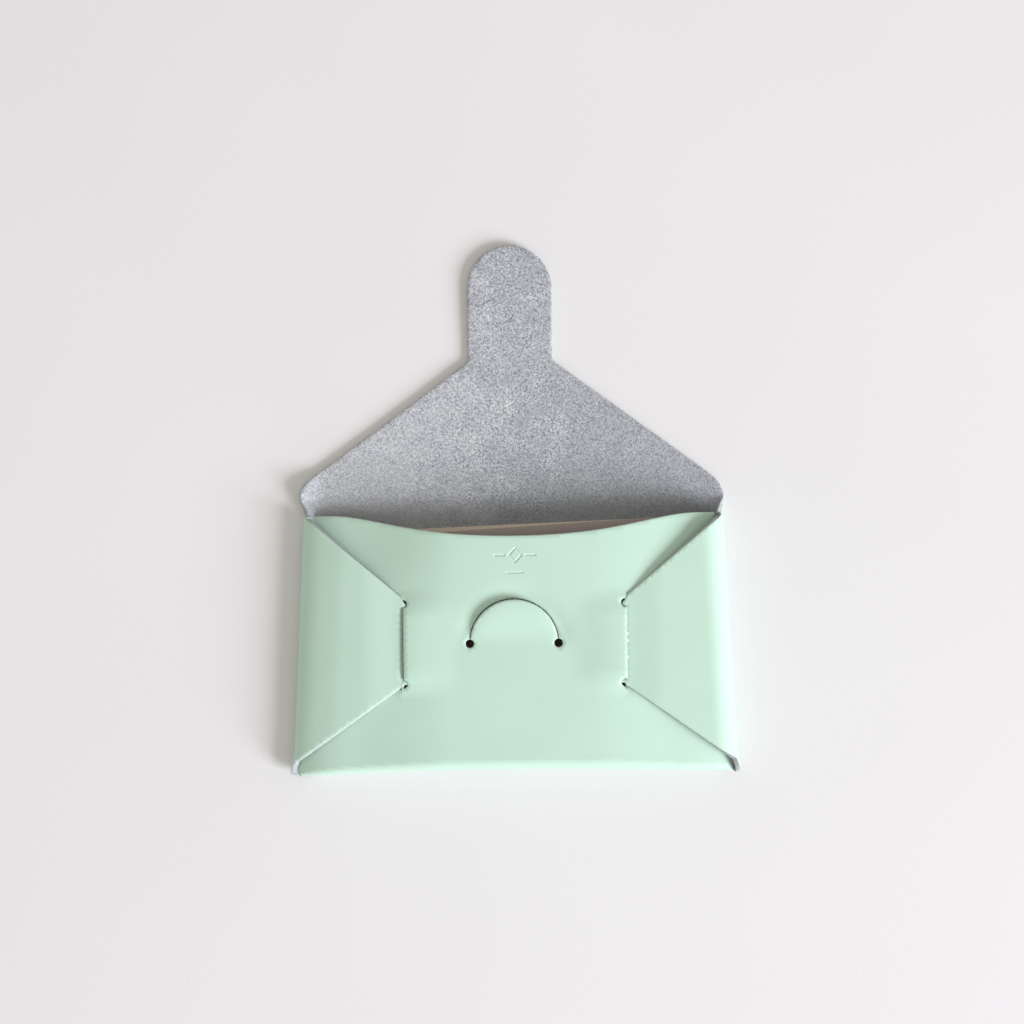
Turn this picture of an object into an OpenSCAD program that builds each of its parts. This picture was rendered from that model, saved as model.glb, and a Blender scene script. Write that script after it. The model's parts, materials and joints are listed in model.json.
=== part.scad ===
// Folded card holder, made from one sheet of leather with no stitching.
// Frame: +Z is up from the table, +Y points from the pocket to the open flap, +X to the right.
// The origin is the centre of the back's outer face. The flap lies open and flat.

/* [Body] */
// Width across the side folds, halfway up the body
body_w = 109.9; // [104:0.1:124]
// How much each side leans out towards the bottom, in degrees
side_flare = 2.86; // [0:0.01:4]
// Height from the bottom fold's outer face to the flap's crease
body_h = 66.2; // [62:0.1:74]
// Thickness of the leather
leather_t = 1.4; // [1:0.1:1.8]
// Inside depth of the pocket, from back to front
pocket_depth = 6.65; // [6.6:0.05:9]

/* [Front] */
// Height of the lip at its lowest point, above the body's middle
lip_y = 27.2; // [24:0.1:30]
// How far the lip rises towards the sides
lip_rise = 5.35; // [1:0.05:5.6]
// Distance from the middle at which the lip has risen
lip_half_w = 46; // [36:0.5:47]
// Distance of each side slit from the middle
slit_x = 28; // [24:0.5:32]
// Length of each side slit
slit_len = 20; // [14:0.5:24]
// Diameter of the relief holes that end each slit
relief_d = 2.1; // [1.5:0.1:2.5]
// Radius of the half-round slit for the closure
latch_r = 11.2; // [11:0.1:13]

/* [Side flaps] */
// Height at which a side flap's upper edge meets the side of the body
flap_edge_top_y = 31.8; // [28:0.1:32]
// Height at which its lower edge meets the side of the body
flap_edge_bottom_y = -30.8; // [-32:0.1:-26]
// How far a lock tab reaches past its slit, behind the front
lock_reach = 9; // [6:0.5:11]
// How far a lock tab spreads past each end of its slit
lock_spread = 3; // [1:0.5:4]

/* [Closing flap] */
// Widest width of the closing flap
flap_w = 107; // [104:0.5:108]
// Radius of its two lower corners
flap_corner_r = 8.5; // [6:0.5:9]
// Length of the spine strip, which covers the thickness of the closed holder
spine_h = 10.8; // [9.9:0.1:11.2]
// Slope of the flap's sides, in degrees from the crease
flap_slope = 36.4; // [34:0.1:37]
// Height of the shoulders where the tongue begins
shoulder_y = 71.8; // [71:0.1:73]
// Width of the tongue
tongue_w = 20.3; // [18:0.1:21]
// Height of the tongue's tip
tongue_tip_y = 101.2; // [96:0.1:106]

/* [Cards] */
// Width of a card
card_w = 91; // [85:0.5:91]
// Height of a card
card_h = 55; // [50:0.5:55]
// Thickness of a card
card_t = 0.45; // [0.3:0.05:0.45]
// Tilt of the rear card as it sits in the pocket, in degrees
rear_card_tilt = 2.1; // [0:0.1:2.5]
// Tilt of the front card, in degrees
front_card_tilt = 3.4; // [0:0.1:3.5]

/* [Hidden] */
$fn = 96;

mint = [0.76, 0.88, 0.81];
shaded_mint = [0.62, 0.77, 0.67];
suede_grey = [0.70, 0.72, 0.75];
pale_card = [0.80, 0.77, 0.70];
brown_card = [0.50, 0.46, 0.43];

clearance = 0.05;   // between flat faces of pieces that only lie on each other
slit_clearance = 0.1;
far = 200;          // longer than any piece

// The layers of leather, from the table up
inside_z = leather_t;
front_z = inside_z + pocket_depth;
side_z = front_z + leather_t;
body_top_z = side_z + leather_t;
lock_z = front_z - leather_t;

// The folds are half-tubes, from one layer of leather to another
side_fold_r = body_top_z / 2;
bottom_fold_r = side_z / 2;
crease_y = body_h / 2;
bottom_fold_y = -body_h / 2 + bottom_fold_r;

// x of the body's side, and of the line where its roll begins, at height y
function side_x(y) = body_w / 2 - y * tan(side_flare);
function fold_x(y) = side_x(y) - side_fold_r / cos(side_flare);

// y of the front's lip at x: shallow in the middle, with a soft shoulder at each side
function lip_part(u) = u * u * (1 + u * u - pow(u, 4));
function lip_at(x) = lip_y + lip_rise * lip_part(min(abs(x) / lip_half_w, 1));

// Points on an arc
function arc(centre, r, from, to, steps) = [
    for (i = [0 : steps])
        centre + r * [cos(from + (to - from) * i / steps), sin(from + (to - from) * i / steps)]
];

// The flap's lower corner: an arc from the crease to the sloping side
corner_x = flap_w / 2 - flap_corner_r;
shoulder_x = tongue_w / 2;
slope_top_y = shoulder_y + shoulder_x * tan(flap_slope);
corner_y = slope_top_y - corner_x * tan(flap_slope) - flap_corner_r / cos(flap_slope);
crease_angle = -asin((corner_y - crease_y) / flap_corner_r);
flap_crease_y = crease_y + spine_h;

tongue_arc_y = tongue_tip_y - shoulder_x;

// The cards lie on the back, one on the other, and stick out a little above the lip
rear_card_z = inside_z + clearance;
front_card_z = rear_card_z + card_t + clearance;
rear_card_y = 2.4;
front_card_y = 1.7;

// Both halves of a piece that is the same on the left and the right
module both_sides() {
    children();
    mirror([1, 0, 0]) children();
}

// Plan shape of the body between its two side rolls
module between_rolls(gap) {
    polygon([
        [fold_x(-far) - gap, -far],
        [fold_x(far) - gap, far],
        [-fold_x(far) + gap, far],
        [-fold_x(-far) + gap, -far]
    ]);
}

// Plan shape of the right-hand side flap with its roll, out past the side
module side_flap_plan() {
    notch_y = slit_len / 2 + relief_d / 2;
    neck_x = slit_x - leather_t / 2;
    top_slope = (flap_edge_top_y - notch_y) / (side_x(flap_edge_top_y) - slit_x);
    bottom_slope = (flap_edge_bottom_y + notch_y) / (side_x(flap_edge_bottom_y) - slit_x);
    out_x = body_w;
    polygon([
        [neck_x, -notch_y],
        [slit_x, -notch_y],
        [out_x, -notch_y + bottom_slope * (out_x - slit_x)],
        [out_x, notch_y + top_slope * (out_x - slit_x)],
        [slit_x, notch_y],
        [neck_x, notch_y]
    ]);
}

// Cross-section of a fold: half a ring, open to the left
module fold_section(r) {
    intersection() {
        difference() {
            circle(r = r);
            circle(r = r - leather_t);
        }
        translate([0, -r]) square([r, 2 * r]);
    }
}

module back_panel() {
    color(mint)
        linear_extrude(leather_t)
            intersection() {
                between_rolls(0);
                translate([-far, bottom_fold_y]) square([2 * far, crease_y - bottom_fold_y]);
            }
}

module bottom_fold() {
    half_w = fold_x(bottom_fold_y) - slit_clearance;
    color(shaded_mint)
        translate([0, bottom_fold_y, bottom_fold_r])
            rotate([90, 0, -90])
                linear_extrude(2 * half_w, center = true)
                    fold_section(bottom_fold_r);
}

// A slit's two relief holes, at its ends
module relief_holes(x, y) {
    both_sides()
        translate([x, y, 0])
            cylinder(d = relief_d, h = far, center = true);
}

module side_slits() {
    slit_w = leather_t + 2 * slit_clearance;
    both_sides()
        translate([slit_x - slit_w / 2, -slit_len / 2, -far / 2])
            cube([slit_w, slit_len, far]);
    relief_holes(slit_x, slit_len / 2);
    relief_holes(slit_x, -slit_len / 2);
}

// The half-round shape inside the closure's slit
module half_moon(r) {
    intersection() {
        circle(r = r);
        translate([-r, 0]) square([2 * r, r]);
    }
}

module front_panel() {
    half_w = ceil(fold_x(bottom_fold_y));
    color(mint)
        difference() {
            translate([0, 0, front_z])
                linear_extrude(leather_t)
                    intersection() {
                        between_rolls(clearance);
                        polygon(concat(
                            [[half_w, bottom_fold_y], [-half_w, bottom_fold_y]],
                            [for (x = [-half_w : 2 : half_w]) [x, lip_at(x)]],
                            [[half_w, lip_at(half_w)]]
                        ));
                    }
            side_slits();
            linear_extrude(far) half_moon(latch_r);
            relief_holes(latch_r, 0);
        }
}

module latch_tab() {
    color(mint)
        difference() {
            translate([0, 0, front_z])
                linear_extrude(leather_t)
                    half_moon(latch_r - slit_clearance);
            relief_holes(latch_r, 0);
        }
}

module right_side_fold() {
    color(shaded_mint)
        intersection() {
            translate([body_w / 2, 0, side_fold_r])
                rotate([0, 0, side_flare])
                    translate([-side_fold_r, 0, 0])
                        rotate([90, 0, 0])
                            linear_extrude(2 * body_h, center = true)
                                fold_section(side_fold_r);
            linear_extrude(far, center = true) side_flap_plan();
        }
}

module left_side_fold() {
    mirror([1, 0, 0]) right_side_fold();
}

module right_side_flap() {
    color(mint)
        translate([0, 0, side_z])
            linear_extrude(leather_t)
                intersection() {
                    side_flap_plan();
                    between_rolls(0);
                }
}

module left_side_flap() {
    mirror([1, 0, 0]) right_side_flap();
}

// The neck stands in the slit, and the tab lies behind the front, wider than the slit
module right_lock_tab() {
    neck_half_w = slit_len / 2 - slit_clearance;
    root_x = slit_x + leather_t / 2;
    tip_x = slit_x - lock_reach;
    color(shaded_mint) {
        translate([root_x - leather_t, -neck_half_w, lock_z])
            cube([leather_t, 2 * neck_half_w, side_z - lock_z]);
        translate([0, 0, lock_z])
            linear_extrude(leather_t - clearance)
                polygon([
                    [root_x, -neck_half_w],
                    [root_x - leather_t, -neck_half_w - lock_spread],
                    [tip_x, -neck_half_w],
                    [tip_x, neck_half_w],
                    [root_x - leather_t, neck_half_w + lock_spread],
                    [root_x, neck_half_w]
                ]);
    }
}

module left_lock_tab() {
    mirror([1, 0, 0]) right_lock_tab();
}

// Plan shape of the spine strip and the flap's main area together
module closing_flap_plan() {
    corner = arc([corner_x, corner_y], flap_corner_r, crease_angle, 90 - flap_slope, 16);
    right_edge = concat(corner, [[shoulder_x, shoulder_y]]);
    left_edge = [for (i = [len(right_edge) - 1 : -1 : 0]) [-right_edge[i].x, right_edge[i].y]];
    polygon(concat(right_edge, left_edge));
}

module flap_spine() {
    color(suede_grey)
        linear_extrude(leather_t)
            intersection() {
                closing_flap_plan();
                translate([-far, 0]) square([2 * far, flap_crease_y]);
            }
}

module main_flap() {
    color(suede_grey)
        linear_extrude(leather_t)
            difference() {
                closing_flap_plan();
                translate([-far, 0]) square([2 * far, flap_crease_y]);
            }
}

module closure_tongue() {
    color(suede_grey)
        linear_extrude(leather_t) {
            translate([-shoulder_x, shoulder_y]) square([tongue_w, tongue_arc_y - shoulder_y]);
            translate([0, tongue_arc_y]) circle(r = shoulder_x);
        }
}

module card(y, z, tilt) {
    translate([0, y, z])
        rotate([0, 0, tilt])
            translate([-card_w / 2, -card_h / 2, 0])
                cube([card_w, card_h, card_t]);
}

module rear_card() {
    color(pale_card) card(rear_card_y, rear_card_z, rear_card_tilt);
}

module front_card() {
    color(brown_card) card(front_card_y, front_card_z, front_card_tilt);
}

back_panel();
bottom_fold();
front_panel();
left_side_fold();
right_side_fold();
left_side_flap();
right_side_flap();
left_lock_tab();
right_lock_tab();
latch_tab();
flap_spine();
main_flap();
closure_tongue();
rear_card();
front_card();
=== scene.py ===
import json
import math

import bpy
import numpy as np
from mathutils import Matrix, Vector, noise
from mathutils.geometry import delaunay_2d_cdt


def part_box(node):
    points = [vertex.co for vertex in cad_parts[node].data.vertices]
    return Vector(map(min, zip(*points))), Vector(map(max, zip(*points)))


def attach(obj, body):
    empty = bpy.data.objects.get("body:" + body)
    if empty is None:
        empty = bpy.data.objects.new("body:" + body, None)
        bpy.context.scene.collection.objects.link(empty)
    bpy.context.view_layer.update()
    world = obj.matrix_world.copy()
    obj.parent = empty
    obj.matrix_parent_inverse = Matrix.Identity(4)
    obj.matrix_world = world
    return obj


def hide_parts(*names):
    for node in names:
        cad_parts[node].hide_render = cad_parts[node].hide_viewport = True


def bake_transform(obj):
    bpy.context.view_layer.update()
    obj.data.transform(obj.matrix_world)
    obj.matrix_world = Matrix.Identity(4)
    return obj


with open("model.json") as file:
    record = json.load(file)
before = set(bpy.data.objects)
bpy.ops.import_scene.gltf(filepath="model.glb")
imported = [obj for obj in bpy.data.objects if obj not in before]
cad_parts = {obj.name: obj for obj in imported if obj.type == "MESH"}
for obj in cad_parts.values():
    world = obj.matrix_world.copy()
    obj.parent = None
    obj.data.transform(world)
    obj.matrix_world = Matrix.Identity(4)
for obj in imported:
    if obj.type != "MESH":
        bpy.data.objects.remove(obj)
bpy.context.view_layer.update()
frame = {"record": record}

# A card holder folded from one sheet of leather, on its back with its flap open. Each piece of leather is
# drawn as an outline on the flat leather, and its place function bends it.
# Lengths are in millimetres here, and become metres when a mesh is made.
MM = 0.001
LEFT, RIGHT = -1, 1


def box_mm(node):
    low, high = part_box(node)
    return [c / MM for c in low], [c / MM for c in high]


def smooth(a, b, x):
    """0 up to a, 1 from b on, and a smooth rise between them."""
    t = np.clip((np.asarray(x, float) - a) / (b - a), 0, 1)
    return t * t * (3 - 2 * t)


def unit(v):
    """The rows of v, each at a length of 1."""
    return v / np.maximum(np.linalg.norm(v, axis=1), 1e-12)[:, None]


def running_total(f, step):
    """Integral of the samples f, a step apart, up to each of them."""
    return np.concatenate([[0], np.cumsum((f[1:] + f[:-1]) / 2) * step])


# ------------------------------------------------------------------ sizes
joints = frame["record"]["behaviour"]["joints"]
joint_at = {joint["name"]: [c / MM for c in joint["pos_m"]] for joint in joints if "pos_m" in joint}

LEATHER = box_mm("back_panel")[1][2]        # thickness of the leather
HALF = LEATHER / 2
CREASE_Y = joint_at["spine_crease"][1]
FLAP_CREASE_Y = joint_at["flap_crease"][1]
TONGUE_Y = joint_at["tongue_bend"][1]
TIP_Y = box_mm("closure_tongue")[1][1]
SIDE_FLAP_TOP = box_mm("left_side_flap")[1][2]

SIDE_X0, SIDE_TAPER = 54.95, 0.05           # half width of the body at y = 0, and how it narrows upwards
SEAM_Y = 31.5                               # where the back ends and the spine strip begins
LIP_Y, LIP_RISE, LIP_HALF = 27.2, 5.35, 46.0    # the lip's lowest y, its rise, and the x where it has risen
LIP_END = 51.3                              # x near which the lip ends
SLIT_X, SLIT_HALF, RELIEF_R = 28.0, 10.0, 1.05  # side slits, and radius of all the relief holes
LATCH_R = 11.2                              # radius of the half-round slit
JOIN_Y = -0.5                               # where the latch tab joins the front
KERF = 0.03                                 # half the width of the half-round cut
FLAP_CORNER, FLAP_CORNER_R = (45.6, 35.5), 8.5  # round wide corners of the closing flap
FLAP_SLOPE = math.radians(36.4)
TONGUE_HALF = 10.75
NOTCH_Q = 5.9                               # how far the flap and the side roll are one, past the fold line
CARD = (91.0, 55.0)


# ------------------------------------------------------------------ bends of the leather
class Roll:
    """Half a turn of leather, for a length of 1. softness 0 is a round arc, 1 turns gently at its two ends,
    and less than 0 turns most at its two ends, with a flatter wall between them."""

    def __init__(self, softness):
        self.t = np.linspace(0, 1, 2001)
        turn = math.pi * (softness * smooth(0, 1, self.t) + (1 - softness) * self.t)
        self.x, self.z = (running_total(f(turn), self.t[1]) for f in (np.cos, np.sin))
        self.rise, self.reach = self.z[-1], self.x.max()
        self.top = int(np.argmax(self.x))

    def at(self, q, length):
        """Reach and rise at a distance q along the leather."""
        a = np.clip(q / length, 0, 1)
        reach = np.interp(a, self.t, self.x) * length + np.minimum(q, 0) - np.maximum(q - length, 0)
        return reach, np.interp(a, self.t, self.z) * length

    def back(self, reach, length):
        """Distance along the leather on the upper side, from the reach."""
        within = np.interp(-np.asarray(reach) / length, -self.x[self.top:], self.t[self.top:]) * length
        return np.where(np.asarray(reach) < 0, length - np.asarray(reach), within)


SIDE_ROLL, BOTTOM_ROLL = Roll(0.9), Roll(-1.6)

# The side flap's end dips through the slit: an S-bend of two arcs and a straight.
DIP_ANGLE, DIP_R, DIP_DROP = 1.08, 1.05, 2.2    # steepest angle in radians, radius of the arcs, and depth
DIP_START_X = {RIGHT: SLIT_X + 0.85, LEFT: SLIT_X + 1.35}   # the right flap dips closer to its slit
dip_arc = DIP_R * DIP_ANGLE
dip_straight = (DIP_DROP - 2 * DIP_R * (1 - math.cos(DIP_ANGLE))) / math.sin(DIP_ANGLE)
dip_length = 2 * dip_arc + dip_straight
dip_t = np.linspace(0, dip_length, 600)
dip_turn = DIP_ANGLE * np.clip(np.minimum(dip_t, dip_length - dip_t) / dip_arc, 0, 1)
dip_x, dip_z = (running_total(f(dip_turn), dip_t[1]) for f in (np.cos, np.sin))


def dip(t):
    """Reach and drop at a distance t along the dip."""
    return np.interp(t, dip_t, dip_x) + np.maximum(t - dip_length, 0), np.interp(t, dip_t, dip_z)


# ------------------------------------------------------------------ side rolls and side flaps
LEAN = math.atan(SIDE_TAPER)
CL, SL = math.cos(LEAN), math.sin(LEAN)
FLAP_SAG = 1.25                             # the rolls are this much lower than the CAD's side flaps
WRAP_L = (SIDE_FLAP_TOP - HALF - FLAP_SAG - HALF) / SIDE_ROLL.rise     # length of a side roll
FOLD_X = SIDE_X0 - (SIDE_ROLL.reach * WRAP_L + HALF) / CL      # fold line on the back, at y = 0
SEAM_X = FOLD_X - SIDE_TAPER * SEAM_Y

LEFT_SQUEEZE = 0.62                         # the left roll is pressed to this part of its height
ROLL_TILT = 0.3                             # the right side stands this much higher, and the left lower
FLAP_RISE = {RIGHT: 1.0, LEFT: 5.3}         # both flaps rise inwards, the left one more
RISE_BEFORE, RISE_OVER = 7, 27              # the rise starts this far before the roll's end, and its length
ROLL_END_STEP = {RIGHT: 0.0, LEFT: 0.85}    # a soft step up where the roll ends
LOWER_SAG = 0.3                             # the lower half of a flap lies this much lower
LEAN_IN = {RIGHT: 0.5, LEFT: 0.6}           # a flap leans down by this where it nears its slit
END_SPREAD = 0.7                            # the open lower end of a roll stands out by this


def fold_line_x(y):
    return FOLD_X - SIDE_TAPER * y


def roll_height(side, q):
    """Height of the middle of a side roll's leather."""
    squeeze = np.where(np.asarray(side) < 0, LEFT_SQUEEZE, 1.0)
    return HALF + SIDE_ROLL.at(q, WRAP_L)[1] * squeeze + side * ROLL_TILT * smooth(0, WRAP_L, q)


def dip_q(side, w):
    """q at which the side flap starts to turn down into its slit."""
    return WRAP_L + (FOLD_X - DIP_START_X[side] - w * SL) / CL


def wrap_place(side):
    """Bends a side roll, side flap and lock tab. q is across the roll and w along it, and a is side * q."""
    def place(a, w):
        q = side * np.asarray(a, float)
        w = np.asarray(w, float)
        inward = np.clip((q - WRAP_L + RISE_BEFORE) / RISE_OVER, 0, 1.2)
        z = roll_height(side, q) + FLAP_RISE[side] * (inward ** 2 / (inward + 0.15) - 0.32 * inward ** 2)
        z = z + ROLL_END_STEP[side] * smooth(-6, 5, q - WRAP_L)
        z = z - LOWER_SAG * smooth(4, 30, -w) * smooth(0, WRAP_L, q)
        start = dip_q(side, w)
        t = q - start
        dx, dz = dip(np.maximum(t, 0))
        # Beyond the two ends of the slit the leather doesn't dip: it stays on top, up to the lock tab.
        on_top = smooth(8.8, 9.8, np.abs((WRAP_L - q) * SL + w * CL)) * (1 - smooth(2.7, 4.0, t))
        z = z - LEAN_IN[side] * smooth(-9, 1, t) - dz * (1 - on_top)
        reach = np.where(t > 0, WRAP_L - start - dx - (t - dx) * on_top, SIDE_ROLL.at(q, WRAP_L)[0])
        x = FOLD_X + reach * CL - w * SL
        x = x + END_SPREAD * (1 - smooth(-33, -27, w)) * np.clip(reach / 6, 0, 1)
        return side * x, reach * SL + w * CL, z
    return place


def wrap_flat(points):
    """Leather coordinates (q, w) of points of the side flap as seen from above."""
    x, y = points[:, 0], points[:, 1]
    reach = (x - FOLD_X) * CL + y * SL
    return np.stack([SIDE_ROLL.back(reach, WRAP_L), -(x - FOLD_X) * SL + y * CL], 1)


def wrap_net(side):
    return lambda a, w: (a * CL + side * FOLD_X - side * w * SL, side * a * SL + w * CL)


# ------------------------------------------------------------------ front panel and bottom roll
CROWN_X, CROWN_Z = 4, 9.3                   # top of the crown, at the middle of the leather
LIP_ARCH = 1.1                              # the middle of the lip stands this much higher
SIDE_FALL = 1.9                             # the crown falls by this towards both sides,
LOWER_FALL = 0.3                            # by this towards the bottom,
CORNER_FALL = 2.0                           # and by this towards the upper left corner
EDGE_WIDTH, EDGE_SCALE, EDGE_POWER = 15.5, 12.5, 2.6    # the bands along the two sides that turn down
EDGE_FALL_LEFT, EDGE_FALL_RIGHT = 2.1, 1.6
LATCH_DENT = 0.35                           # a soft dent round the half-round slit
LIFT_LEFT, LIFT_RIGHT, PRESS = 1.15, 0.95, 1.6  # the front beside the slits: up inboard, down outboard
LATCH_RISE, LATCH_SPREAD, LATCH_TILT = 1.4, 6.6, 0.2    # the latch tab bulges up, more on its left


def side_x(y):
    return SIDE_X0 - SIDE_TAPER * y


def crown(x, y):
    """Height of the middle of the front's leather."""
    fall = np.where(x < CROWN_X, 0.5, 0.35) * ((x - CROWN_X) / 28) ** 2
    fall = fall + SIDE_FALL * smooth(18, 50, np.abs(x - 2)) + LOWER_FALL * smooth(4, 30, -y)
    fall = fall + CORNER_FALL * smooth(12, 46, -x) * smooth(0, 26, y)
    edge = np.clip((EDGE_WIDTH - (side_x(y) - np.abs(x))) / EDGE_SCALE, 0, None) ** EDGE_POWER
    arch = LIP_ARCH * smooth(2, 29, y) * np.clip(1 - ((x - 3) / 44) ** 2, 0, None) ** 1.5
    dent = LATCH_DENT * np.exp(-((np.hypot(x, y) - LATCH_R - 1.2) / 2.2) ** 2) * smooth(-2, 5, y)
    return CROWN_Z - fall - np.where(x < 0, EDGE_FALL_LEFT, EDGE_FALL_RIGHT) * edge + arch - dent


def rim(x):
    """Height at which the bottom roll meets the front."""
    return crown(x, -30.0)


def bottom_y(x):
    """y of the bottom edge, which reaches a little further down at its ends, most at the left one."""
    return -32.1 - 1.35 * (x / 55) ** 2 - 0.6 * np.clip(-x / 55, 0, None) ** 3


def bottom_fold(x):
    """Length of the bottom roll, and y of its fold line on the back."""
    length = (rim(x) - HALF) / BOTTOM_ROLL.rise
    return length, bottom_y(x) + HALF + BOTTOM_ROLL.reach * length


def slit_press(x, y):
    """The tab lifts the leather inboard of the slit, and the flap presses it down outboard."""
    d = np.abs(x) - (SLIT_X + 0.45)
    lift = np.where(x < 0, LIFT_LEFT, LIFT_RIGHT) * (1 - smooth(0, 15, -d))
    return (1 - smooth(6.5, 14, np.abs(y))) * np.where(d < 0, lift, -PRESS * (1 - smooth(2, 14, d)))


def front_place(x, m):
    """Bends the front with its bottom roll. -m is how far along the leather the back's fold line is."""
    x, s = np.asarray(x, float), -np.asarray(m, float)
    length, fold = bottom_fold(x)
    reach, rise = BOTTOM_ROLL.at(s, length)
    y = fold - reach
    shape = (crown(x, y) - rim(x)) * smooth(0, 12, y - fold) + slit_press(x, y)
    return x, y, HALF + rise + np.where(s > length, shape, 0)


def front_flat(x, y):
    """Leather coordinates (x, m) of a point of the front as seen from above."""
    x, y = np.asarray(x, float), np.asarray(y, float)
    length, fold = bottom_fold(x)
    return x, -BOTTOM_ROLL.back(fold - y, length)


def to_front(points):
    return np.stack(front_flat(points[:, 0], points[:, 1]), 1)


def front_net(x, m):
    return x, bottom_fold(np.asarray(x, float))[1] + m


def latch_place(x, m):
    px, py, pz = front_place(x, m)
    bulge = LATCH_RISE * (1 - np.exp(-(np.clip(py - JOIN_Y, 0, None) / LATCH_SPREAD) ** 2))
    return px, py, pz + bulge * (1 - LATCH_TILT * px / LATCH_R)


def lip(x):
    """y of the lip: a shallow dip with a soft shoulder at each side."""
    u = np.minimum(np.abs(x) / LIP_HALF, 1)
    return LIP_Y + LIP_RISE * u ** 2 * (1 + u ** 2 - u ** 4)


# ------------------------------------------------------------------ back, spine strip, closing flap
DIAG_Y = FLAP_CORNER[1] + FLAP_CORNER_R / math.cos(FLAP_SLOPE) + FLAP_CORNER[0] * math.tan(FLAP_SLOPE)
FLAT_X = 46.8                               # under the cards that slide out the flap is flat, as far as this
CURL_LEFT, CURL_RIGHT, CURL_TIP = 2.4, 0.3, 0.3     # how far the wide corners and the tongue stand up
LEFT_BOW = 0.7                              # the left slanted edge bows out by this near its wide corner
TIP_SHIFT = 0.3                             # the end of the flap lies this much to the left


def back_place(x, y):
    return x, y, HALF + 0 * x


def diagonal(u):
    """v of the closing flap's slanted edge."""
    return DIAG_Y - np.abs(u) * math.tan(FLAP_SLOPE)


def curl(u, v):
    """How far the open flap stands off the table. It lies flat where a card slides over it, so only its two
    wide corners and its tongue curl up."""
    corner = np.where(u < 0, CURL_LEFT, CURL_RIGHT) * smooth(FLAT_X, 56, np.abs(u)) * smooth(33, 39, v)
    return corner + CURL_TIP * smooth(71, 95, v)


def flap_place(u, v):
    """Bends the spine strip, closing flap and tongue. Beyond SEAM_X the strip follows the side rolls."""
    u, v = np.asarray(u, float), np.asarray(v, float)
    q = (np.abs(u) - SEAM_X) * CL
    reach = SIDE_ROLL.at(np.maximum(q, 0), WRAP_L)[0]
    fade = 1 - smooth(SEAM_Y, 37.5, v)
    x = u + np.sign(u) * np.where(q > 0, (SEAM_X + reach / CL - np.abs(u)) * fade, 0)
    z = HALF + np.where(q > 0, (roll_height(np.sign(u), np.maximum(q, 0)) - HALF) * fade, 0) + curl(u, v)
    bow = LEFT_BOW * smooth(25, 52, -u) * smooth(33, 39, v) * (1 - smooth(44, 62, v))
    return x - TIP_SHIFT * smooth(SEAM_Y, 85, v) - bow, v, z


def same(u, v):
    return u, v


# ------------------------------------------------------------------ outlines
def line(a, b, step=0.45):
    """Points from a towards b, without b."""
    n = max(1, int(round(math.dist(a, b) / step)))
    k = np.arange(n)[:, None] / n
    return np.array(a) * (1 - k) + np.array(b) * k


def lines(points):
    """Points on the straight lines from each of the points to the next, without the last one."""
    return np.concatenate([line(a, b) for a, b in zip(points[:-1], points[1:])])


def arc(centre, r, start, stop, step=0.4):
    """Points on an arc in degrees, without the last one."""
    n = max(2, int(round(abs(math.radians(stop - start)) * r / step)))
    ang = np.radians(start + (stop - start) * np.arange(n) / n)
    return np.stack([centre[0] + r * np.cos(ang), centre[1] + r * np.sin(ang)], 1)


def loop(*runs):
    """One closed outline from (points, cut) runs. cut is False where the leather runs on into another
    piece."""
    pts = np.concatenate([r for r, _ in runs])
    cut = np.concatenate([np.full(len(r), c) for r, c in runs])
    return pts, cut


def turned(pts, cut, clockwise):
    """The outline, turned round if it doesn't run the way that clockwise says."""
    area = np.sum(pts[:, 0] * np.roll(pts[:, 1], -1) - np.roll(pts[:, 0], -1) * pts[:, 1])
    if (area < 0) != clockwise:
        pts = pts[::-1].copy()
        cut = np.roll(cut[::-1], -1).copy()
    return pts, cut


def mirrored(pts):
    return pts[::-1] * np.array([-1, 1])


def inside(points, outlines):
    """Whether each point is inside the outlines, by the even-odd rule."""
    hit = np.zeros(len(points), bool)
    for a in outlines:
        b = np.roll(a, -1, 0)
        for k in range(0, len(points), 2000):
            p = points[k:k + 2000, None]
            up = (a[:, 1] > p[..., 1]) != (b[:, 1] > p[..., 1])
            dy = np.where(b[:, 1] == a[:, 1], 1, b[:, 1] - a[:, 1])
            x = a[:, 0] + (p[..., 1] - a[:, 1]) * (b[:, 0] - a[:, 0]) / dy
            hit[k:k + 2000] ^= (np.sum(up & (p[..., 0] < x), 1) % 2).astype(bool)
    return hit


# ------------------------------------------------------------------ sheet meshes
# Rings round a cut edge: (distance in from the edge, height, tilt of the normal in degrees), for a sheet as
# thick as LEATHER.
RINGS = ((0.22, 0.70, 18), (0.08, 0.66, 48), (0.0, 0.50, 76), (0.0, 0.16, 90),
         (0.0, -0.16, 90), (0.0, -0.50, 104), (0.08, -0.66, 132), (0.22, -0.70, 162))
LAST = len(RINGS) - 1
GRAIN, FLESH, EDGE = 0, 1, 2
WALL_KINDS = (FLESH, FLESH, EDGE, EDGE, EDGE, EDGE, GRAIN)     # material between each ring and the next
MAX_INSET = 1.6                             # how far a sharp corner's inset may grow
STRAIGHT = 0.08                             # sine of the turn below which two sides are one straight side


def neighbours(loops):
    """Index of the next point and of the point before, round each loop."""
    counts = [len(pts) for pts, _ in loops]
    starts = np.cumsum([0] + counts[:-1])
    after = np.concatenate([np.roll(np.arange(n), -1) + start for n, start in zip(counts, starts)])
    before = np.empty_like(after)
    before[after] = np.arange(len(after))
    return after, before


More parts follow.
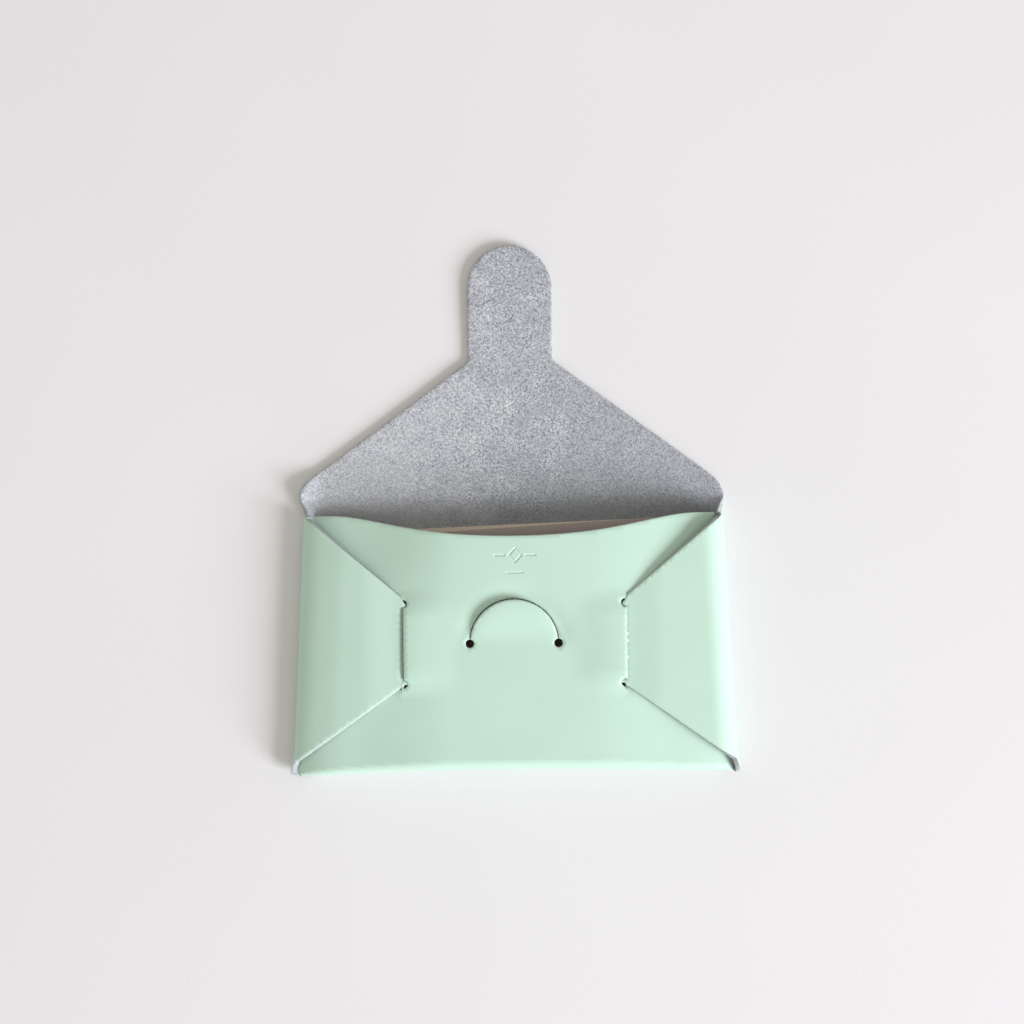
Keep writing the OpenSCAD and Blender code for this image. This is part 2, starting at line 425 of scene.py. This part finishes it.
def insets(pts, cut, after, before):
    """For each outline point: the step that moves its cut sides in by 1, the direction outwards, whether any
    of its two sides is cut, and 1 where both are and 0 elsewhere."""
    edge = unit(pts[after] - pts)
    n2 = np.stack([-edge[:, 1], edge[:, 0]], 1)
    n1 = n2[before]
    d1, d2 = cut[before].astype(float), cut.astype(float)
    det = n1[:, 0] * n2[:, 1] - n1[:, 1] * n2[:, 0]
    flat = np.abs(det) < STRAIGHT
    safe = np.where(flat, 1, det)
    mitre = np.stack([(d1 * n2[:, 1] - d2 * n1[:, 1]) / safe, (n1[:, 0] * d2 - n2[:, 0] * d1) / safe], 1)
    inset = np.where(flat[:, None], (n1 + n2) / 2 * ((d1 + d2) / 2)[:, None], mitre)
    size = np.linalg.norm(inset, axis=1)
    inset *= np.where(size > MAX_INSET, MAX_INSET / np.maximum(size, 1e-9), 1)[:, None]
    return inset, unit(-(n1 + n2) / 2), np.maximum(d1, d2) > 0, d1 * d2


def grid(low, high, step):
    """Points of a net of equal triangles."""
    ys = np.arange(low[1] + step / 2, high[1], step * 0.866)
    xs = np.arange(low[0] + step / 2, high[0], step)
    gx, gy = np.meshgrid(xs, ys)
    gx = gx + (np.arange(len(ys)) % 2)[:, None] * step / 2
    return np.stack([gx.ravel(), gy.ravel()], 1)


def inner_points(pts, outlines, step, fine, scale):
    """Grid points inside the outlines and clear of their edges. fine is the (low, high, step) of a box with a
    finer grid, or None."""
    def clear(p, g):
        p = p[inside(p, outlines)]
        near = np.concatenate([np.min(np.linalg.norm(p[j:j + 1000, None] - pts[None], axis=2), 1)
                               for j in range(0, len(p), 1000)])
        return p[near > 0.3 * scale + 0.3 * g]

    coarse = grid(pts.min(0), pts.max(0), step)
    if fine is None:
        return clear(coarse, step)
    low, high, fine_step = fine
    away = np.any((coarse < np.array(low) - step / 2) | (coarse > np.array(high) + step / 2), 1)
    return np.concatenate([clear(coarse[away], step), clear(grid(low, high, fine_step), fine_step)])


def triangles(rim_pts, inner, after, loops):
    """Triangles that fill the outlines, as indices into the rim points followed by the inner points."""
    points = np.concatenate([rim_pts, inner])
    edges = [(int(i), int(j)) for i, j in enumerate(after)]
    done = delaunay_2d_cdt([Vector(p) for p in points], edges, [], 0, 1e-6, True)
    source = [ids[0] if ids else -1 for ids in done[3]]
    tris = np.array([[source[i] for i in f] for f in done[2]])
    tris = tris[(tris >= 0).all(1)]
    ends = np.cumsum([len(pts) for pts, _ in loops])
    return tris[inside(points[tris].mean(1), np.split(rim_pts, ends[:-1]))]


def surface(place, uv):
    """Points of the bent leather's middle, their normals, and its two directions there."""
    e = 0.02
    u, v = uv[:, 0], uv[:, 1]
    du = np.stack(place(u + e, v), 1) - np.stack(place(u - e, v), 1)
    dv = np.stack(place(u, v + e), 1) - np.stack(place(u, v - e), 1)
    return np.stack(place(u, v), 1), unit(np.cross(du, dv)), du, dv


def dented(relief, uv, normal, du, dv):
    """Depth of the relief at each point, and the normals of the dented grain side."""
    e = 0.05
    u, v = uv[:, 0], uv[:, 1]
    gu = (relief(u + e, v) - relief(u - e, v)) / (2 * e)
    gv = (relief(u, v + e) - relief(u, v - e)) / (2 * e)
    return relief(u, v), unit(-normal + unit(du) * gu[:, None] + unit(dv) * gv[:, None])


def sheet(name, loops, place, net, mats, thick=LEATHER, step=1.0, fuzz=0.07, fine=None, relief=None,
          skive=0.0):
    """A bent sheet with rounded cut edges. place bends it, and net says where it is on the flat leather, for
    its materials. mats are the grain, flesh and edge materials. fuzz is how ragged the cut edges are, relief
    gives the depth of dents in the grain side, and skive cuts the grain side back by its length."""
    scale = thick / LEATHER
    loops = [turned(p, c, i > 0) for i, (p, c) in enumerate(loops)]
    pts = np.concatenate([p for p, _ in loops])
    cut = np.concatenate([c for _, c in loops])
    after, before = neighbours(loops)
    inset, out, any_cut, both_cut = insets(pts, cut, after, before)
    rim_pts = pts + inset * RINGS[0][0] * scale
    inner = inner_points(pts, [p for p, _ in loops], step, fine, scale)
    tris = triangles(rim_pts, inner, after, loops)
    n = len(pts)

    co, normal, flat = [], [], []
    for r, (dist, height, tilt) in enumerate(RINGS):
        if r in (0, LAST):
            uv = rim_pts + inset * (skive if r == LAST else 0)
        else:
            seeds = [Vector((x * 2.1, y * 2.1, r * 0.3 + len(name))) for x, y in pts]
            ragged = np.array([noise.noise(seed) for seed in seeds])
            cut_back = skive * (0.5 - height / LEATHER)
            uv = pts + inset * ((dist + cut_back) * scale + both_cut * fuzz * ragged * 1.3)[:, None]
        p, nn, du, dv = surface(place, uv)
        outwards = unit(du * out[:, :1] + dv * out[:, 1:])
        ang = np.radians(np.where(any_cut, tilt, 0 if r < len(RINGS) / 2 else 180))[:, None]
        co.append(p + nn * height * scale)
        normal.append(nn * np.cos(ang) + outwards * np.sin(ang))
        flat.append(np.stack([*net(uv[:, 0], uv[:, 1]), np.full(n, height * scale)], 1))
    p, nn, du, dv = surface(place, inner)
    dent, low_normal = dented(relief, inner, nn, du, dv) if relief else (np.zeros(len(inner)), -nn)
    co += [p + nn * HALF * scale, p - nn * (HALF * scale - dent)[:, None]]
    normal += [nn, low_normal]
    for height in (HALF * scale, -HALF * scale):
        flat.append(np.stack([*net(inner[:, 0], inner[:, 1]), np.full(len(inner), height)], 1))
    co, normal, flat = np.concatenate(co), np.concatenate(normal), np.concatenate(flat)

    past_rings = tris - n + len(RINGS) * n
    top = np.where(tris < n, tris, past_rings)
    bottom = np.where(tris < n, tris + LAST * n, past_rings + len(inner))[:, ::-1]
    i = np.arange(n)
    wall = np.stack([i, i + n, after + n, after], 1)
    walls = np.concatenate([wall + r * n for r in range(LAST)])
    faces = top.tolist() + bottom.tolist() + walls.tolist()
    kinds = [FLESH] * len(top) + [GRAIN] * len(bottom) + np.repeat(WALL_KINDS, n).tolist()
    mesh = bpy.data.meshes.new(name)
    mesh.from_pydata((co * MM).tolist(), [], faces, shade_flat=False)
    for mat in mats:
        mesh.materials.append(mat)
    mesh.polygons.foreach_set("material_index", kinds)
    at = mesh.attributes.new("flat", "FLOAT_VECTOR", "POINT")
    at.data.foreach_set("vector", flat.astype(np.float32).ravel())
    mesh.normals_split_custom_set_from_vertices(normal.tolist())
    obj = bpy.data.objects.new(name, mesh)
    bpy.context.scene.collection.objects.link(obj)
    return obj


# ------------------------------------------------------------------ materials
class Graph:
    """A material's node tree, with a short call for each kind of node."""

    def __init__(self, name):
        self.material = bpy.data.materials.new(name)
        self.material.use_nodes = True
        self.tree = self.material.node_tree
        self.tree.nodes.clear()

    def node(self, kind, links=None, **values):
        nd = self.tree.nodes.new(kind)
        for key, value in values.items():
            if key in nd.inputs:
                nd.inputs[key].default_value = value
            else:
                setattr(nd, key, value)
        for key, socket in (links or {}).items():
            self.tree.links.new(socket, nd.inputs[key])
        return nd

    def flat(self):
        """Place on the flat leather, and height above its middle."""
        return self.node("ShaderNodeAttribute", attribute_name="flat").outputs["Vector"]

    def noise(self, coord, scale, detail=3.0, rough=0.55, warp=0.0):
        nd = self.node("ShaderNodeTexNoise", {"Vector": coord})
        nd.inputs["Scale"].default_value = scale
        nd.inputs["Detail"].default_value = detail
        nd.inputs["Roughness"].default_value = rough
        nd.inputs["Distortion"].default_value = warp
        return nd.outputs["Fac"]

    def voronoi(self, coord, scale, feature="F1"):
        nd = self.node("ShaderNodeTexVoronoi", {"Vector": coord})
        nd.feature = feature
        nd.inputs["Scale"].default_value = scale
        return nd.outputs["Distance"]

    def ramp(self, fac, stops):
        nd = self.node("ShaderNodeValToRGB", {"Fac": fac})
        while len(nd.color_ramp.elements) < len(stops):
            nd.color_ramp.elements.new(0.5)
        for el, (pos, col) in zip(nd.color_ramp.elements, stops):
            el.position = pos
            el.color = (*col, 1) if len(col) == 3 else col
        return nd.outputs["Color"]

    def remap(self, value, a, b, c=0.0, d=1.0):
        nd = self.node("ShaderNodeMapRange", {"Value": value})
        for key, v in (("From Min", a), ("From Max", b), ("To Min", c), ("To Max", d)):
            nd.inputs[key].default_value = v
        return nd.outputs["Result"]

    def math(self, op, a, b):
        nd = self.node("ShaderNodeMath", operation=op)
        for i, v in enumerate((a, b)):
            if isinstance(v, (int, float)):
                nd.inputs[i].default_value = v
            else:
                self.tree.links.new(v, nd.inputs[i])
        return nd.outputs[0]

    def mix(self, fac, a, b, blend="MIX"):
        nd = self.node("ShaderNodeMix", data_type="RGBA", blend_type=blend)
        for i, v in ((0, fac), (6, a), (7, b)):
            if isinstance(v, (int, float)):
                nd.inputs[i].default_value = v
            elif isinstance(v, tuple):
                nd.inputs[i].default_value = (*v, 1)
            else:
                self.tree.links.new(v, nd.inputs[i])
        return nd.outputs[2]

    def bump(self, height, distance, strength=1.0, normal=None):
        links = {"Height": height}
        if normal is not None:
            links["Normal"] = normal
        nd = self.node("ShaderNodeBump", links)
        nd.inputs["Distance"].default_value = distance * MM
        nd.inputs["Strength"].default_value = strength
        return nd.outputs["Normal"]

    def finish(self, links, **values):
        nd = self.node("ShaderNodeBsdfPrincipled", links)
        for key, value in values.items():
            nd.inputs[key.replace("_", " ")].default_value = value
        self.node("ShaderNodeOutputMaterial", {"Surface": nd.outputs["BSDF"]})
        return self.material


def grain_material():
    """Smooth mint-green grain side."""
    g = Graph("mint_grain")
    p = g.flat()
    cloud = g.noise(p, 0.06, 3)
    fine = g.noise(p, 1.3, 3)
    pores = g.voronoi(p, 2.6)
    base = g.ramp(cloud, [(0.3, (0.538, 0.748, 0.615)), (0.7, (0.562, 0.770, 0.640))])
    base = g.mix(g.remap(fine, 0.35, 0.65, 0.0, 0.06), base, (0.48, 0.70, 0.57))
    height = g.math("ADD", g.math("MULTIPLY", pores, 0.6), g.math("MULTIPLY", fine, 0.8))
    rough = g.remap(fine, 0.3, 0.7, 0.47, 0.56)
    return g.finish({"Base Color": base, "Roughness": rough, "Normal": g.bump(height, 0.012)},
                    Specular_IOR_Level=0.42)


def flesh_material():
    """Grey suede flesh side: specks and nap, with painted shade darkening it towards the crease and the
    mouth, and painted light and shade across it, lighter on the left and darker on the right.
    """
    g = Graph("suede_flesh")
    p = g.flat()
    speck = g.noise(p, 2.35, 4, 0.75)
    nap = g.noise(p, 1.1, 4, 0.65, 0.4)
    patch = g.noise(p, 0.14, 3, 0.5)
    specks = [(0.39, (0.15, 0.162, 0.19)), (0.5, (0.40, 0.42, 0.45)), (0.60, (0.79, 0.805, 0.82))]
    base = g.ramp(speck, specks)
    base = g.mix(g.remap(nap, 0.42, 0.66, 0.0, 0.55), base, (0.60, 0.63, 0.65))
    base = g.mix(g.remap(patch, 0.35, 0.65, 0.0, 0.20), base, (0.36, 0.39, 0.44))
    place = g.node("ShaderNodeSeparateXYZ", {"Vector": p})
    # Painted shade: the suede darkens towards the crease and the mouth, darkest in the spine strip's fold,
    # standing in for the shade that the body casts there.
    base = g.mix(g.remap(place.outputs["Y"], 50.0, 36.0, 0.0, 0.30), base, (0.22, 0.24, 0.27))
    base = g.mix(g.remap(place.outputs["Y"], 37.5, 33.0, 0.0, 0.55), base, (0.17, 0.18, 0.19))
    # Painted light and shade: lighter on the left and darker on the right, standing in for the window light
    # on a cupped flap whose left half faces the light.
    painted_cup_shade = g.math("ADD", place.outputs["X"], g.remap(patch, 0.3, 0.7, -14.0, 14.0))
    base = g.mix(g.remap(painted_cup_shade, -8.0, 20.0, 0.0, 0.34), base, (0.29, 0.31, 0.335))
    base = g.mix(g.remap(painted_cup_shade, -2.0, -30.0, 0.0, 0.22), base, (0.78, 0.80, 0.83))
    height = g.math("ADD", speck, g.math("MULTIPLY", nap, 0.7))
    return g.finish({"Base Color": base, "Normal": g.bump(height, 0.16)},
                    Roughness=0.95, Specular_IOR_Level=0.12, Sheen_Weight=0.12, Sheen_Roughness=0.6)


def edge_material():
    """Fibres of the cut edges."""
    g = Graph("cut_edge")
    p = g.flat()
    fibre = g.noise(p, 4.5, 3, 0.7)
    patch = g.noise(p, 1.2, 2)
    fibres = [(0.36, (0.22, 0.245, 0.245)), (0.5, (0.45, 0.49, 0.47)), (0.66, (0.70, 0.72, 0.70))]
    base = g.ramp(fibre, fibres)
    base = g.mix(g.remap(patch, 0.4, 0.7, 0.0, 0.35), base, (0.38, 0.42, 0.42))
    return g.finish({"Base Color": base, "Normal": g.bump(fibre, 0.10)},
                    Roughness=0.95, Specular_IOR_Level=0.1)


def card_material(name, colour, dark):
    """Uncoated card, from colour to dark."""
    g = Graph(name)
    p = g.flat()
    fibre = g.noise(p, 2.0, 4, 0.6)
    cloud = g.noise(p, 0.08, 2)
    base = g.mix(g.remap(fibre, 0.35, 0.65, 0.0, 0.35), colour, dark)
    base = g.mix(g.remap(cloud, 0.3, 0.7, 0.0, 0.2), base, dark)
    return g.finish({"Base Color": base, "Normal": g.bump(fibre, 0.02)},
                    Roughness=0.8, Specular_IOR_Level=0.25)


grain, flesh, edge_mat = grain_material(), flesh_material(), edge_material()
LEATHER_MATS = (grain, flesh, edge_mat)


# ------------------------------------------------------------------ back
def across(x, y, count):
    """Points from x to -x, all at one y."""
    return np.stack([np.linspace(x, -x, count), np.full(count, y)], 1)


# The corner where the side and bottom fold lines meet is found step by step.
corner_x = FOLD_X
for _ in range(30):
    corner_x = fold_line_x(float(bottom_fold(corner_x)[1]))
corner_y = float(bottom_fold(corner_x)[1])
corner_w = float(-(corner_x - FOLD_X) * SL + corner_y * CL)
seam_w = float(-(SEAM_X - FOLD_X) * SL + SEAM_Y * CL)

fold_xs = np.linspace(-corner_x, corner_x, 215)
fold_pts = np.stack([fold_xs, bottom_fold(fold_xs)[1]], 1)
fold_ws = np.linspace(corner_w, seam_w, 136)
right_fold = np.stack([FOLD_X - fold_ws * SL, fold_ws * CL], 1)
seam_pts = across(SEAM_X, SEAM_Y, 202)
back_outline = loop((fold_pts[:-1], False), (right_fold[:-1], False), (seam_pts[:-1], False),
                    (mirrored(right_fold)[:-1], False))
back = sheet("back_leather", [back_outline], back_place, same, LEATHER_MATS, step=1.6)


# ------------------------------------------------------------------ front with bottom roll, and latch tab
def half_width(y):
    """Half the width of the front, which is a little wider at its foot."""
    return side_x(y) - 1.9 - 0.15 * smooth(-30, 30, y) + 0.7 * (1 - smooth(-33, -26, y))


def front_outline():
    lip_end_y = float(lip(LIP_END)) - 0.5
    ys = np.linspace(-32.4, lip_end_y, 150)
    top_edge = to_front(np.stack([half_width(ys), ys], 1))
    join_x, join_m = (float(c) for c in top_edge[0])
    # From the bottom roll's fold line up to the front the edge swings out from corner_x to join_x.
    low_m = np.linspace(0, join_m, 26)
    swing = smooth(2, 0.5 * join_m, low_m)
    low_x = corner_x + (join_x - corner_x) * (swing - swing[0]) / (swing[-1] - swing[0])
    right_edge = np.concatenate([np.stack([low_x, low_m], 1)[:-1], top_edge])
    lip_end = float(half_width(lip_end_y + 0.5)) - 0.5
    lip_xs = np.linspace(lip_end, -lip_end, 236)
    lip_pts = to_front(np.stack([lip_xs, lip(lip_xs)], 1))
    front_fold = np.stack([fold_xs, 0 * fold_xs], 1)
    return loop((front_fold[:-1], False), (right_edge, True), (lip_pts, True),
                (mirrored(right_edge)[:-1], True))


def slit_loop(side):
    """A side slit with its two relief holes. The left one is held a little further open."""
    inner, outer = (0.5 if side == RIGHT else -0.1), 1.0
    a_in, a_out = (math.degrees(math.acos(d / RELIEF_R)) for d in (inner, outer))
    y_in, y_out = (SLIT_HALF - math.sqrt(RELIEF_R ** 2 - d ** 2) for d in (inner, outer))
    pts = np.concatenate([
        line((SLIT_X + inner, -y_in), (SLIT_X + inner, y_in)),
        arc((SLIT_X, SLIT_HALF), RELIEF_R, 360 - a_in, -a_out, 0.3),
        line((SLIT_X + outer, y_out), (SLIT_X + outer, -y_out)),
        arc((SLIT_X, -SLIT_HALF), RELIEF_R, a_out, -360 + a_in, 0.3)])
    return to_front(pts * np.array([side, 1])), np.ones(len(pts), bool)


def half_moon(r, outer):
    """The half-round cut with its two relief holes: the front's edge round the holes if outer is true, and
    otherwise the latch tab's."""
    # Where the circle of radius r crosses the right relief hole, above y = 0.
    x = (r * r - RELIEF_R ** 2 + LATCH_R ** 2) / (2 * LATCH_R)
    y = math.sqrt(r * r - x * x)
    start = 180 - math.degrees(math.asin(JOIN_Y / RELIEF_R))    # on the hole, towards the middle
    end = math.degrees(math.atan2(y, x - LATCH_R))
    hole = arc((LATCH_R, 0), RELIEF_R, start, end + 360 if outer else end, 0.3)
    bow_start = math.degrees(math.atan2(y, x))
    bow = arc((0, 0), r, bow_start, 180 - bow_start)
    hole_x = LATCH_R - math.sqrt(RELIEF_R ** 2 - JOIN_Y ** 2)
    chord = across(-hole_x, JOIN_Y, 46)[:-1]
    left = np.concatenate([[(-x, y)], mirrored(hole[1:])])
    return loop((to_front(chord), False), (to_front(np.concatenate([hole, bow, left])), True))


MARK_X, MARK_Y, MARK_DEPTH = 0.4, 22.3, 0.16


def mark(u, m):
    """A small blind-stamped ornament: a diamond between two bars, and a short bar below."""
    length, fold = bottom_fold(u)
    x, y = np.abs(u - MARK_X), -m - length + fold - MARK_Y
    diamond = np.abs(x / 1.6 + np.abs(y) / 1.7 - 1) * 1.15 - 0.2
    bars = np.maximum(np.abs(x - 3.9) - 1.35, np.abs(y) - 0.22)
    under = np.maximum(x - 2.1, np.abs(y + 4.4) - 0.18)
    return MARK_DEPTH * (1 - smooth(-0.1, 0.12, np.minimum(np.minimum(diamond, bars), under)))


mark_left, mark_high = (float(c) for c in front_flat(-6.2, MARK_Y - 6))
mark_right, mark_low = (float(c) for c in front_flat(7.0, MARK_Y + 3))
front = sheet("front_leather",
              [front_outline(), slit_loop(RIGHT), slit_loop(LEFT), half_moon(LATCH_R + KERF, True)],
              front_place, front_net, LEATHER_MATS,
              fine=((mark_left, mark_low), (mark_right, mark_high), 0.2), relief=mark)
latch = sheet("latch_leather", [half_moon(LATCH_R - KERF, False)], latch_place, front_net, LEATHER_MATS,
              step=0.7, skive=0.08)


# ------------------------------------------------------------------ side rolls, side flaps and lock tabs
NECK_TOP = {1: 11.6, -1: 11.0}              # |w| of the flap's two shoulders, above and below the slit,
NECK_REACH = {1: 1.0, -1: 0.1}              # and how far past SLIT_X they reach
UPPER_EDGE = ((52.2, 32.05), (28.3, 12.05))     # the flap's slanted edges, as seen from above
LOWER_EDGE = ((28.45, -11.15), (55.4, -30.15))


def wrap_outline(side):
    """Seam with the spine strip, free edge and fold line, in leather coordinates (q, w), drawn for the right
    side."""
    qs = np.linspace(0, NOTCH_Q, 14)
    seam = np.stack([qs, (SEAM_Y - SIDE_ROLL.at(qs, WRAP_L)[0] * SL) / CL], 1)
    tip = lines([seam[-1], (8.6, 32.25), (9.6, 32.5), (10.5, 32.45), (11.3, 32.15), (11.8, 31.8)])
    upper, lower = wrap_flat(line(*UPPER_EDGE)), wrap_flat(line(*LOWER_EDGE))

    def neck(half):
        """Shoulder, neck through the slit, and half of the lock tab, above the slit (1) or below it (-1)."""
        t0 = DIP_START_X[side] - SLIT_X + NECK_REACH[half]
        top = NECK_TOP[half]
        shoulder = [(t0 - 0.6, top), (t0 - 0.1, top - 0.5), (t0, 10.0), (t0 + 0.1, 9.6), (t0 + 0.3, 9.3)]
        lock_tab = [(4.2, 9.25), (5.6, 11.4), (6.5, 12.4), (7.6, 12.5), (11.0, 9.6), (11.6, 8.6)]
        return [(dip_q(side, half * w) + t, half * w) for t, w in shoulder + lock_tab]

    tab = neck(1) + neck(-1)[::-1]
    tab = np.concatenate([lines(tab), tab[-1:]])
    end = lines([lower[-1], (10.0, -31.5), (9.3, -32.8), (8.3, -33.7), (7.0, -33.9), (5.4, -33.1),
                 (0, corner_w)])
    fold = np.stack([0 * fold_ws, fold_ws], 1)
    return seam, np.concatenate([tip, upper, tab, lower[:-1], end]), fold


wraps = {}
for side, word in ((RIGHT, "right"), (LEFT, "left")):
    seam, free, fold = (run * np.array([side, 1]) for run in wrap_outline(side))
    outline = loop((seam[:-1], False), (free, True), (fold[:-1], False))
    wraps[word] = sheet(word + "_wrap", [outline], wrap_place(side), wrap_net(side), LEATHER_MATS, skive=0.2)

# ------------------------------------------------------------------ spine strip, closing flap, tongue
SPLIT_1, SPLIT_2 = (CREASE_Y + FLAP_CREASE_Y) / 2, 60.0     # where the three pieces of the flap meet


def on_corner(angle):
    """Point of the closing flap's round right corner."""
    a = math.radians(angle)
    return FLAP_CORNER[0] + FLAP_CORNER_R * math.cos(a), FLAP_CORNER[1] + FLAP_CORNER_R * math.sin(a)


CORNER_START = -20                          # degrees, where the round corner begins
corner_split = math.degrees(math.asin((SPLIT_1 - FLAP_CORNER[1]) / FLAP_CORNER_R))
corner_end = 90 - math.degrees(FLAP_SLOPE)
seam_side = np.stack([SEAM_X + np.linspace(0, NOTCH_Q, 14) / CL, np.full(14, SEAM_Y)], 1)
corner_low = np.concatenate([line((SEAM_X + NOTCH_Q / CL, SEAM_Y), on_corner(CORNER_START)),
                             arc(FLAP_CORNER, FLAP_CORNER_R, CORNER_START, corner_split)])
split_1 = across(on_corner(corner_split)[0], SPLIT_1, 216)
spine_outline = loop((seam_pts[::-1][:-1], False), (seam_side[:-1], False), (corner_low, True),
                     (split_1[:-1], False), (mirrored(np.concatenate([corner_low, split_1[:1]]))[:-1], True),
                     (mirrored(seam_side)[:-1], False))
spine = sheet("spine_leather", [spine_outline], flap_place, same, LEATHER_MATS, step=0.9, fuzz=0.16)

split_2_x = (DIAG_Y - SPLIT_2) / math.tan(FLAP_SLOPE)
corner_high = np.concatenate([arc(FLAP_CORNER, FLAP_CORNER_R, corner_split, corner_end),
                              line(on_corner(corner_end), (split_2_x, SPLIT_2))])
split_2 = across(split_2_x, SPLIT_2, 108)
flap_outline = loop((split_1[::-1][:-1], False), (corner_high, True), (split_2[:-1], False),
                    (mirrored(np.concatenate([corner_high, split_2[:1]]))[:-1], True))
flap = sheet("flap_leather", [flap_outline], flap_place, same, LEATHER_MATS, step=0.9, fuzz=0.16)

tip_r = TONGUE_HALF + 0.02
tip_y = TIP_Y - tip_r
root_x = TONGUE_HALF + 0.5
side_run = lines([(split_2_x, SPLIT_2), (root_x, float(diagonal(root_x))), (TONGUE_HALF, TONGUE_Y + 0.7),
                  (tip_r, tip_y)])
tongue_outline = loop((split_2[::-1][:-1], False), (side_run, True), (arc((0, tip_y), tip_r, 0, 180), True),
                      (mirrored(side_run), True))
tongue = sheet("tongue_leather", [tongue_outline], flap_place, same, LEATHER_MATS, step=0.9, fuzz=0.16)

# ------------------------------------------------------------------ cards
CARD_CORNER_R = 0.6
CARD_BOW = 0.02


def rounded_box(w, h, r):
    """Outline that reaches w and h from its centre, with rounded corners."""
    centres = [(w - r, h - r), (r - w, h - r), (r - w, r - h), (w - r, r - h)]
    ends = [np.array(end) for end in ((0, r), (-r, 0), (0, -r), (r, 0))]
    runs = []
    for i, end in enumerate(ends):
        runs.append(arc(centres[i], r, 90 * i, 90 * (i + 1), 0.25))
        runs.append(line(centres[i] + end, centres[(i + 1) % 4] + end, 0.8))
    return np.concatenate(runs)


def card(node, tilt, centre_y, mat):
    """A card of the full size, at the height of its CAD solid. tilt is in degrees."""
    low, high = box_mm(node)
    w = CARD[0] / 2
    pts = rounded_box(w, CARD[1] / 2, CARD_CORNER_R)
    c, s = math.cos(math.radians(tilt)), math.sin(math.radians(tilt))

    def place(u, v):
        z = (low[2] + high[2]) / 2 + CARD_BOW * (1 - (u / w) ** 2)
        return u * c - v * s, centre_y + u * s + v * c, z

    return sheet(node + "_paper", [(pts, np.ones(len(pts), bool))], place, same, (mat, mat, mat),
                 thick=(high[2] - low[2]) * 0.9, step=2.2, fuzz=0.0)


cream = card_material("card_cream", (0.66, 0.58, 0.48), (0.56, 0.49, 0.40))
# The front card is a darker, browner stock than the rear one: partly its own colour, and partly painted shade
# from the front's lip.
brown_card_and_shade = card_material("card_brown_and_painted_shade", (0.44, 0.385, 0.355), (0.33, 0.285, 0.26))
rear = card("rear_card", 2.1, 2.4, cream)
near = card("front_card", 3.4, 1.7, brown_card_and_shade)

# ------------------------------------------------------------------ bodies
for piece, nodes in ((back, ["back_panel"]), (front, ["front_panel", "bottom_fold"]),
                     (wraps["left"], ["left_side_fold", "left_side_flap", "left_lock_tab"]),
                     (wraps["right"], ["right_side_fold", "right_side_flap", "right_lock_tab"])):
    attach(piece, "holder")
    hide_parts(*nodes)
for piece, body in ((rear, "rear_card"), (near, "front_card")):
    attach(piece, body)
    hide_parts(body)


def bend(piece, node):
    """Bakes the piece's place into its mesh, and hides the CAD part that it stands for."""
    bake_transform(piece)
    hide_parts(node)


bend(latch, "latch_tab")
bend(spine, "flap_spine")
bend(flap, "main_flap")
bend(tongue, "closure_tongue")


# ------------------------------------------------------------------ floor, light, camera, in metres
def floor_material():
    """Plain and pale, with a faint tooth."""
    g = Graph("plain_floor")
    coord = g.node("ShaderNodeTexCoord").outputs["Object"]
    tooth = g.noise(coord, 900, 3)
    cloud = g.noise(coord, 9, 2)
    base = g.ramp(cloud, [(0.3, (0.79, 0.785, 0.785)), (0.7, (0.81, 0.805, 0.805))])
    return g.finish({"Base Color": base, "Normal": g.bump(tooth, 0.05, 0.5)},
                    Roughness=0.85, Specular_IOR_Level=0.2)


FLOOR_HALF, FLOOR_Z = 1.6, -0.00003         # the floor is just below the leather
floor_corners = [(x * FLOOR_HALF, y * FLOOR_HALF, FLOOR_Z) for x, y in ((-1, -1), (1, -1), (1, 1), (-1, 1))]
floor_mesh = bpy.data.meshes.new("floor")
floor_mesh.from_pydata(floor_corners, [], [(0, 1, 2, 3)])
floor_mesh.materials.append(floor_material())
floor = bpy.data.objects.new("floor", floor_mesh)
bpy.context.scene.collection.objects.link(floor)


def area_light(name, position, target, size, power, colour):
    light = bpy.data.lights.new(name, "AREA")
    light.shape = "RECTANGLE"
    light.size, light.size_y = size
    light.energy, light.color = power, colour
    obj = bpy.data.objects.new(name, light)
    obj.location = position
    obj.rotation_euler = (Vector(target) - Vector(position)).to_track_quat("-Z", "Y").to_euler()
    bpy.context.scene.collection.objects.link(obj)


# A large low window towards the lower right, and an evenly lit warm room.
SUN_EL, SUN_AZ, SUN_FAR = math.radians(23.5), math.radians(-32), 2.4
sun_flat = SUN_FAR * math.cos(SUN_EL)
sun_at = (sun_flat * math.cos(SUN_AZ), sun_flat * math.sin(SUN_AZ), SUN_FAR * math.sin(SUN_EL))
area_light("window", sun_at, (0, 0.02, 0), (1.15, 1.15), 80.0, (0.89, 0.905, 1.0))
world = bpy.data.worlds.new("studio")
world.use_nodes = True
room = world.node_tree.nodes["Background"].inputs
room["Color"].default_value = (1.0, 0.955, 0.89, 1)
room["Strength"].default_value = 0.575
bpy.context.scene.world = world
bpy.context.scene.view_settings.view_transform = "Standard"

camera_data = bpy.data.cameras.new("camera")
camera_data.sensor_width = 36.0
camera_data.lens = 74.0
camera_data.clip_start, camera_data.clip_end = 0.01, 10.0
camera = bpy.data.objects.new("camera", camera_data)
camera.location = (-0.0002, 0.0331, 0.540)
camera.rotation_euler = (0, 0, math.radians(-0.6))
bpy.context.scene.collection.objects.link(camera)
bpy.context.scene.camera = camera
